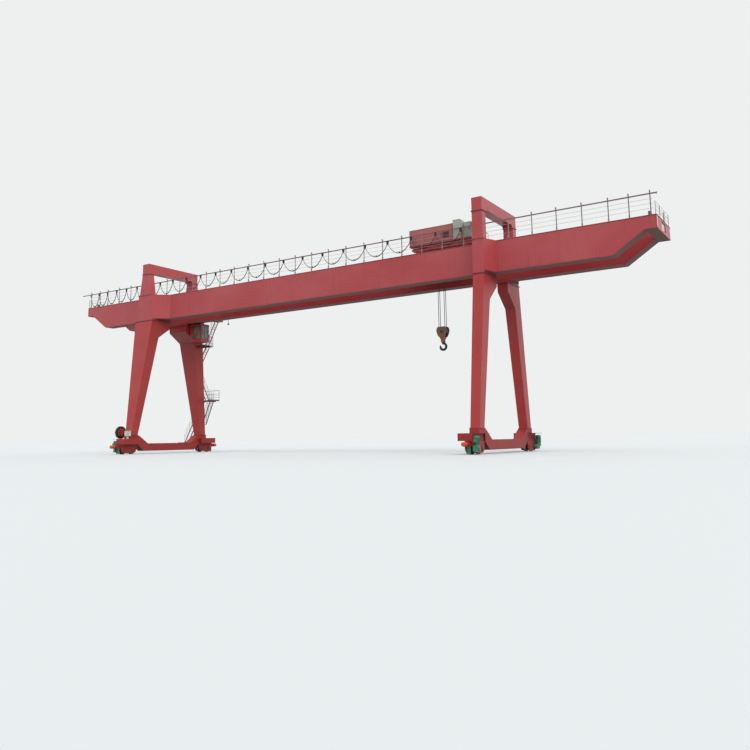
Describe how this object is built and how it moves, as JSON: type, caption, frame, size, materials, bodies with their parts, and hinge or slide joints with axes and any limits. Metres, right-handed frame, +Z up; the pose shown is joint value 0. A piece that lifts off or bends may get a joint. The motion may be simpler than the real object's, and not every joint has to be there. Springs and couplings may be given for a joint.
{
  "type": "rail mounted double girder gantry crane, 1:2 scale model",
  "caption": "Double box girder gantry crane on rails with wide and slender legs, trolley, hook block, festoon cable, cab and stairs.",
  "frame": {"origin": "middle of the crane's footprint at the lowest line of the wheel flanges", "axes": "+X along the girders towards the slender legs, +Y along the crane rails away from the festoon side, +Z up"},
  "size_m": [30.02, 6.8, 9.345],
  "materials": {
    "red_paint": "satin red paint",
    "dark_red_paint": "satin dark red paint",
    "steel_dark": "dark greasy steel",
    "green_paint": "satin green paint",
    "rail_paint": "weathered paint",
    "cable_black": "black rubber",
    "cab_window": "dark glass",
    "grey_paint": "satin grey paint",
    "orange_paint": "satin orange red paint"
  },
  "bodies": {
    "gantry": {"near_girder": "red_paint", "far_girder": "red_paint", "left_end_tie": "red_paint", "right_end_tie": "red_paint", "trolley_rails": "steel_dark", "near_rigid_leg": "red_paint", "far_rigid_leg": "red_paint", "near_flex_leg": "red_paint", "far_flex_leg": "red_paint", "rigid_saddle": "red_paint", "flex_saddle": "red_paint", "rigid_sill_beam": "red_paint", "flex_sill_beam": "red_paint", "near_rigid_truck": "dark_red_paint", "far_rigid_truck": "dark_red_paint", "near_flex_truck": "dark_red_paint", "far_flex_truck": "dark_red_paint", "near_rigid_drive": "green_paint", "far_rigid_drive": "green_paint", "near_flex_drive": "green_paint", "far_flex_drive": "green_paint", "near_walkway_rail": "rail_paint", "far_walkway_rail": "rail_paint", "festoon_cable": "cable_black", "leg_stair_lower": "dark_red_paint", "leg_stair_upper": "dark_red_paint", "leg_landing_lower": "dark_red_paint", "leg_landing_upper": "dark_red_paint", "cab_shell": "red_paint", "cab_glass": "cab_window", "cab_ladder": "dark_red_paint", "reel_arm": "dark_red_paint", "control_box": "grey_paint"},
    "trolley": {"trolley_frame": "red_paint", "hoist_housing": "red_paint", "electric_cabinets": "grey_paint", "hoist_ropes": "steel_dark"},
    "hook_block": {"hook_block": "orange_paint"},
    "hook": {"hook": "steel_dark"},
    "cable_reel": {"cable_reel": "red_paint"},
    "near_rigid_wheel_outer": {"near_rigid_wheel_outer": "steel_dark"},
    "near_rigid_wheel_inner": {"near_rigid_wheel_inner": "steel_dark"},
    "far_rigid_wheel_outer": {"far_rigid_wheel_outer": "steel_dark"},
    "far_rigid_wheel_inner": {"far_rigid_wheel_inner": "steel_dark"},
    "near_flex_wheel_outer": {"near_flex_wheel_outer": "steel_dark"},
    "near_flex_wheel_inner": {"near_flex_wheel_inner": "steel_dark"},
    "far_flex_wheel_outer": {"far_flex_wheel_outer": "steel_dark"},
    "far_flex_wheel_inner": {"far_flex_wheel_inner": "steel_dark"}
  },
  "joints": [
    {"name": "trolley_travel", "type": "slide", "parent": "gantry", "child": "trolley", "axis": [1, 0, 0], "range_m": [-18.2, 6.3], "deforming": ["festoon_cable"]},
    {"name": "hoist", "type": "slide", "parent": "trolley", "child": "hook_block", "axis": [0, 0, 1], "range_m": [-3.75, 1.45], "deforming": ["hoist_ropes"]},
    {"name": "hook_swivel", "type": "hinge", "parent": "hook_block", "child": "hook", "pos_m": [6.47, 0, 4.304], "axis": [0, 0, 1], "continuous": true},
    {"name": "cable_reel_spin", "type": "hinge", "parent": "gantry", "child": "cable_reel", "pos_m": [-9.865, -2.33, 1.02], "axis": [1, 0, 0], "continuous": true},
    {"name": "near_rigid_wheel_outer_spin", "type": "hinge", "parent": "gantry", "child": "near_rigid_wheel_outer", "pos_m": [-9.165, -2.735, 0.18], "axis": [1, 0, 0], "continuous": true},
    {"name": "near_rigid_wheel_inner_spin", "type": "hinge", "parent": "gantry", "child": "near_rigid_wheel_inner", "pos_m": [-9.165, -2.225, 0.18], "axis": [1, 0, 0], "continuous": true},
    {"name": "far_rigid_wheel_outer_spin", "type": "hinge", "parent": "gantry", "child": "far_rigid_wheel_outer", "pos_m": [-9.165, 2.735, 0.18], "axis": [1, 0, 0], "continuous": true},
    {"name": "far_rigid_wheel_inner_spin", "type": "hinge", "parent": "gantry", "child": "far_rigid_wheel_inner", "pos_m": [-9.165, 2.225, 0.18], "axis": [1, 0, 0], "continuous": true},
    {"name": "near_flex_wheel_outer_spin", "type": "hinge", "parent": "gantry", "child": "near_flex_wheel_outer", "pos_m": [8.835, -2.735, 0.18], "axis": [1, 0, 0], "continuous": true},
    {"name": "near_flex_wheel_inner_spin", "type": "hinge", "parent": "gantry", "child": "near_flex_wheel_inner", "pos_m": [8.835, -2.225, 0.18], "axis": [1, 0, 0], "continuous": true},
    {"name": "far_flex_wheel_outer_spin", "type": "hinge", "parent": "gantry", "child": "far_flex_wheel_outer", "pos_m": [8.835, 2.735, 0.18], "axis": [1, 0, 0], "continuous": true},
    {"name": "far_flex_wheel_inner_spin", "type": "hinge", "parent": "gantry", "child": "far_flex_wheel_inner", "pos_m": [8.835, 2.225, 0.18], "axis": [1, 0, 0], "continuous": true}
  ]
}
